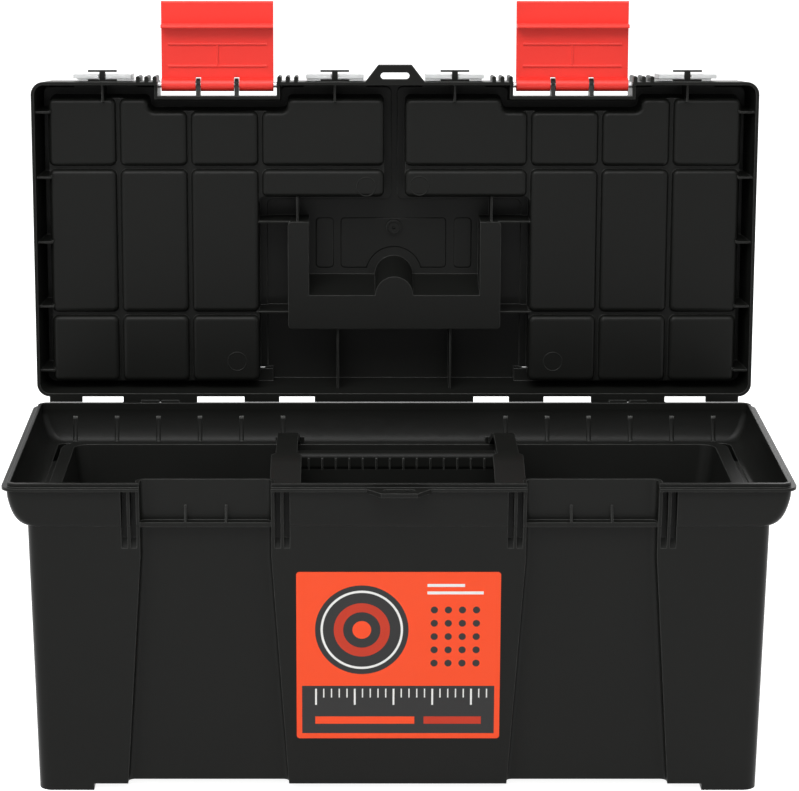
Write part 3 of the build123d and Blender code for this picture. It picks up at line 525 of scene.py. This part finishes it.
# %% Rings and pips
def around_mark(middle, reach, turn, sink):
    """Place at a turn round a mark's middle, sunk into the lid or, below zero, standing proud of it."""
    across, back, face = middle
    return on_lid(across + reach * math.cos(turn), back + reach * math.sin(turn), face + sink)


def turns_of(count):
    """Even turns round a full circle."""
    return [2 * math.pi * step / count for step in range(count)]


def turned_ring(maker, middle, radius, half, proud, around=56, facets=6):
    """A low rounded ring that stands proud of the lid's inside, its foot buried."""
    leans = [math.pi * corner / facets for corner in range(facets + 1)]
    profile = [(radius + half * math.cos(lean), -proud * math.sin(lean)) for lean in leans]
    profile += [(radius - half, buried), (radius + half, buried)]
    rows = []
    for turn in turns_of(around):
        rows.append([around_mark(middle, reach, turn, sink) for reach, sink in profile])
    closed_grid(maker, rows, loop=True)


def turned_pip(maker, middle, radius, proud, around=24, levels=5):
    """A low dome on the lid's inside, its foot buried."""
    leans = [math.pi / 2 * level / levels for level in range(levels)]
    profile = [(radius, buried)]
    profile += [(radius * math.cos(lean), -proud * math.sin(lean)) for lean in leans]
    rows = []
    for reach, sink in profile:
        rows.append([around_mark(middle, reach, turn, sink) for turn in turns_of(around)])
    closed_grid(maker, rows)


# %% Marks of the ejector pins
well_face = 0.009
boss = (0, -0.0037, 0.0348)
well_marks = ((-0.1108, 0.0879), (0.1122, 0.0880), (-0.0197, -0.0368), (0.0174, -0.0374))
marks = bmesh.new()
for across, back in well_marks:
    turned_ring(marks, (across, back, well_face), radius=0.0066, half=0.00045, proud=0.00022)
turned_ring(marks, boss, radius=0.0042, half=0.0005, proud=0.0005)
turned_pip(marks, boss, radius=0.0012, proud=0.0008)
piece_from(marks, "ejector_marks", "lid", black_plastic)
print("ejector marks:", len(well_marks), "rings and a boss")

# %% [markdown]
# ## Pads on the panel
# Inside the handle's pocket the lid's panel carries three low pads with rounded corners, the middle one cut
# round where the finger scoop comes up. They are about half a millimetre high, so they show as faint frames.
# An outline is drawn as a list of corners, once at the foot and once a little smaller at the top: skinning
# the two gives a pad with sloped edges, which catch the light as the moulded ones do.


# %% Pads on the panel
def arc(middle_x, middle_y, radius, first, last, count):
    """Points along part of a circle, in degrees."""
    turns = [math.radians(first + (last - first) * step / count) for step in range(count + 1)]
    return [(middle_x + radius * math.cos(turn), middle_y + radius * math.sin(turn)) for turn in turns]


def pad_outline(left, right, front, back, inset, bite, facets=6, bite_facets=24):
    """Corners of a rounded rectangle, with a round bite out of its back edge when a radius is given."""
    reach = pad_corner - inset
    low, high = left + pad_corner, right - pad_corner
    near, far = front + pad_corner, back - pad_corner
    points = arc(low, near, reach, 180, 270, facets) + arc(high, near, reach, 270, 360, facets)
    points += arc(high, far, reach, 0, 90, facets)
    if bite:
        drop = scoop_middle - (back - inset)
        half = math.degrees(math.asin(drop / (bite + inset)))
        points += arc(0, scoop_middle, bite + inset, -half, half - 180, bite_facets)
    return points + arc(low, far, reach, 90, 180, facets)


panel_face = 0.0378
pad_height = 0.0006
pad_slope = 0.0007
pad_corner = 0.003
pad_front, pad_back = -0.0105, 0.0257
scoop_middle = 0.0302
scoop_bite = 0.0195
pad_sides = ((-0.0555, -0.0425, 0), (-0.0378, 0.0372, scoop_bite), (0.0425, 0.0552, 0))
pad_levels = ((0, panel_face + buried), (0, panel_face), (pad_slope, panel_face - pad_height))
pads = bmesh.new()
for left, right, bite in pad_sides:
    rows = []
    for inset, height in pad_levels:
        outline = pad_outline(left, right, pad_front, pad_back, inset, bite)
        rows.append([on_lid(across, back, height) for across, back in outline])
    closed_grid(pads, rows)
panel_pads = piece_from(pads, "panel_pads", "lid", black_plastic)
for face in panel_pads.data.polygons:
    face.use_smooth = False
print("pads:", len(pad_sides))

# %% [markdown]
# ## Studio
# A pale floor and large soft lamps, as in a small product studio. One wide lamp hangs high in front and
# lights the walls and the open lid. A weak one lower in front softens its shadows, one above reaches into
# the tray, and one behind draws the outline of the back. The floor and the air behind it show themselves
# brighter to the camera, and to reflections and clear plastic, than they light the toolbox: the picture's
# ground is white while the light stays plain.


# %% Floor and air
def background(wire):
    """1 for rays that only look at the background, 0 for rays that gather light."""
    seen = wire.node("ShaderNodeLightPath", out=0)
    glossy = wire.node("ShaderNodeLightPath", out=3)
    through = wire.node("ShaderNodeLightPath", out=6)
    return (seen + glossy + through).clamp()


bpy.ops.mesh.primitive_plane_add(size=30, location=(0, 0, 0))
floor = bpy.context.object
floor.name = "studio_floor"
paper, paper_shader, wire = start("studio_paper")
fibre = noise(wire, wire.node("ShaderNodeTexCoord", out=3), scale=300.0, detail=3.0)
paper_dark, paper_pale = (0.62, 0.62, 0.62, 1), (0.65, 0.65, 0.65, 1)
unlit, paper_glow = (0, 0, 0, 1), (0.92, 0.92, 0.92, 1)
join(mix(wire, fibre, paper_dark, paper_pale), paper_shader, "Base Color")
join(mix(wire, background(wire), unlit, paper_glow), paper_shader, "Emission Color")
paper_shader.inputs["Emission Strength"].default_value = 1.0
paper_shader.inputs["Roughness"].default_value = 0.9
floor.data.materials.append(paper)

world = bpy.data.worlds.new("studio_air")
world.use_nodes = True
bpy.context.scene.world = world
air = world.node_tree.nodes["Background"]
sky = Wire(world.node_tree)
air_light, air_white = (0.32, 0.32, 0.32, 1), (1, 1, 1, 1)
join(mix(sky, background(sky), air_light, air_white), air, "Color")
print("floor and air white to the camera")


# %% Lamps
def lamp(name, place, target, size, power):
    """A soft lamp of a width and height that points at a target."""
    data = bpy.data.lights.new(name, "AREA")
    data.shape = "RECTANGLE"
    data.size, data.size_y = size
    data.energy = power
    light = bpy.data.objects.new(name, data)
    light.location = place
    light.rotation_euler = (Vector(target) - Vector(place)).to_track_quat("-Z", "Y").to_euler()
    bpy.context.scene.collection.objects.link(light)
    print(name, power, "W")


rim_middle = (0, 0, 0.22)
tray_middle = (0, 0, 0.2)
lamp("key_lamp", (-0.5, -1.5, 2.2), rim_middle, size=(2.6, 1.2), power=50)
lamp("front_lamp", (-1.0, -2.5, 1.4), rim_middle, size=(1.8, 0.9), power=8)
lamp("top_lamp", (-0.2, -0.25, 2.2), tray_middle, size=(1.5, 1.5), power=10)
lamp("back_lamp", (1.0, 2.4, 1.8), rim_middle, size=(2.2, 1.2), power=34)
bpy.context.scene.view_settings.view_transform = "Standard"
